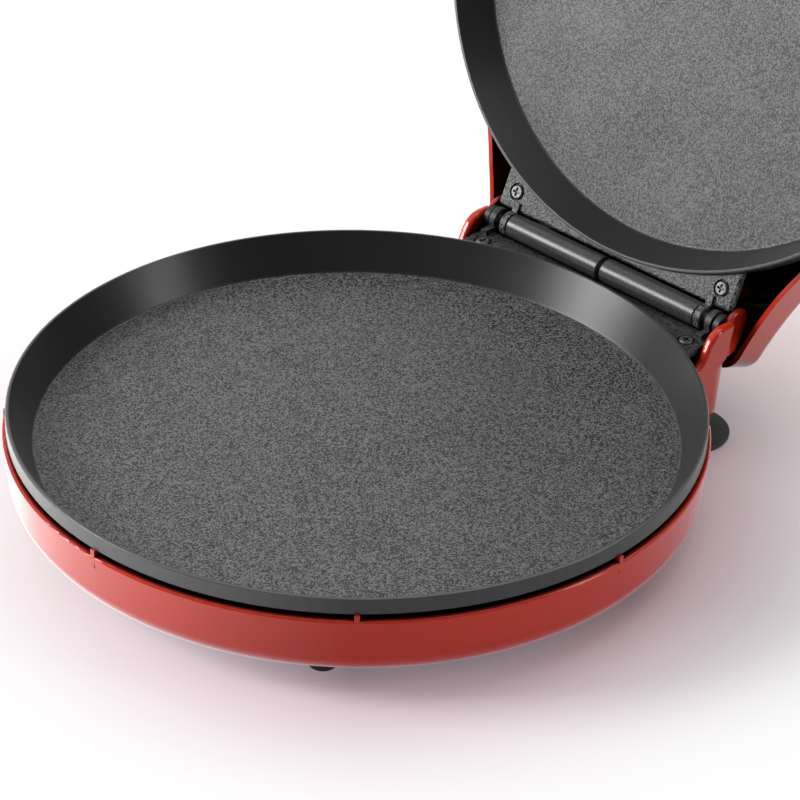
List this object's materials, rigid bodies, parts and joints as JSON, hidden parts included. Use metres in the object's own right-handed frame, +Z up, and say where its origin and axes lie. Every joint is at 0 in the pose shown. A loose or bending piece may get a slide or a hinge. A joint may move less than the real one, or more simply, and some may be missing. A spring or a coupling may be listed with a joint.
{
  "type": "electric pizza maker",
  "caption": "Round countertop pizza maker with a hinged lid, two heated non-stick plates, a moulded red body and lid, and a front handle.",
  "frame": {"origin": "on the table plane below the middle of the whole outline, taken with the lid open", "axes": "+Z up, the front of the appliance towards -Y, the lid's hinge along X at the back (+Y)"},
  "size_m": [0.3292, 0.5246, 0.3864],
  "materials": {
    "red_plastic": "glossy moulded plastic, tomato red",
    "nonstick_plate": "cast, with a satin black speckled non-stick coating",
    "black_tube": "satin black",
    "black_plastic": "fine matt moulding grain",
    "black_rubber": "matt",
    "shaft_steel": "turned",
    "dark_screw": "blackened",
    "plated_screw": "zinc plated",
    "element_sheath": "heat-darkened",
    "bright_sheet": "rolled sheet",
    "control_metal": "pressed",
    "terminal_plastic": "natural",
    "white_lead": "braided sleeve over insulation",
    "black_lead": "smooth",
    "red_lens": "translucent",
    "green_lens": "translucent",
    "lamp_board": "circuit board with small lamps"
  },
  "bodies": {
    "base": {"base_housing": "red_plastic", "lower_plate": "nonstick_plate", "lower_plate_screws": "dark_screw", "lower_plate_fixing_screws": "plated_screw", "hinge_shaft": "shaft_steel", "right_hinge_sleeve": "black_tube", "left_hinge_sleeve": "black_tube", "right_hinge_bush": "black_plastic", "left_hinge_bush": "black_plastic", "right_front_foot": "black_rubber", "left_front_foot": "black_rubber", "right_rear_foot": "black_rubber", "left_rear_foot": "black_rubber", "foot_screws": "plated_screw", "lower_heating_element": "element_sheath", "lower_element_clamps": "bright_sheet", "lower_heat_reflector": "bright_sheet", "lower_reflector_screws": "plated_screw", "lower_thermostat": "control_metal", "thermal_fuse": "control_metal", "base_terminal_block": "terminal_plastic", "base_wiring": "white_lead", "cord_inlet": "black_plastic", "hinge_lead": "black_lead"},
    "lid": {"lid_housing": "red_plastic", "upper_plate": "nonstick_plate", "upper_plate_screws": "dark_screw", "upper_plate_fixing_screws": "plated_screw", "lid_handle": "black_plastic", "handle_screws": "plated_screw", "ready_lens": "green_lens", "power_lens": "red_lens", "indicator_lamps": "lamp_board", "upper_heating_element": "element_sheath", "upper_element_clamps": "bright_sheet", "upper_heat_reflector": "bright_sheet", "upper_reflector_screws": "plated_screw", "upper_thermostat": "control_metal", "lid_terminal_block": "terminal_plastic", "lid_wiring": "white_lead"}
  },
  "joints": [
    {"name": "lid_hinge", "type": "hinge", "parent": "base", "child": "lid", "pos_m": [0, 0.07434, 0.056], "axis": [1, 0, 0], "range_deg": [0, 115], "deforming": ["hinge_lead"]}
  ]
}
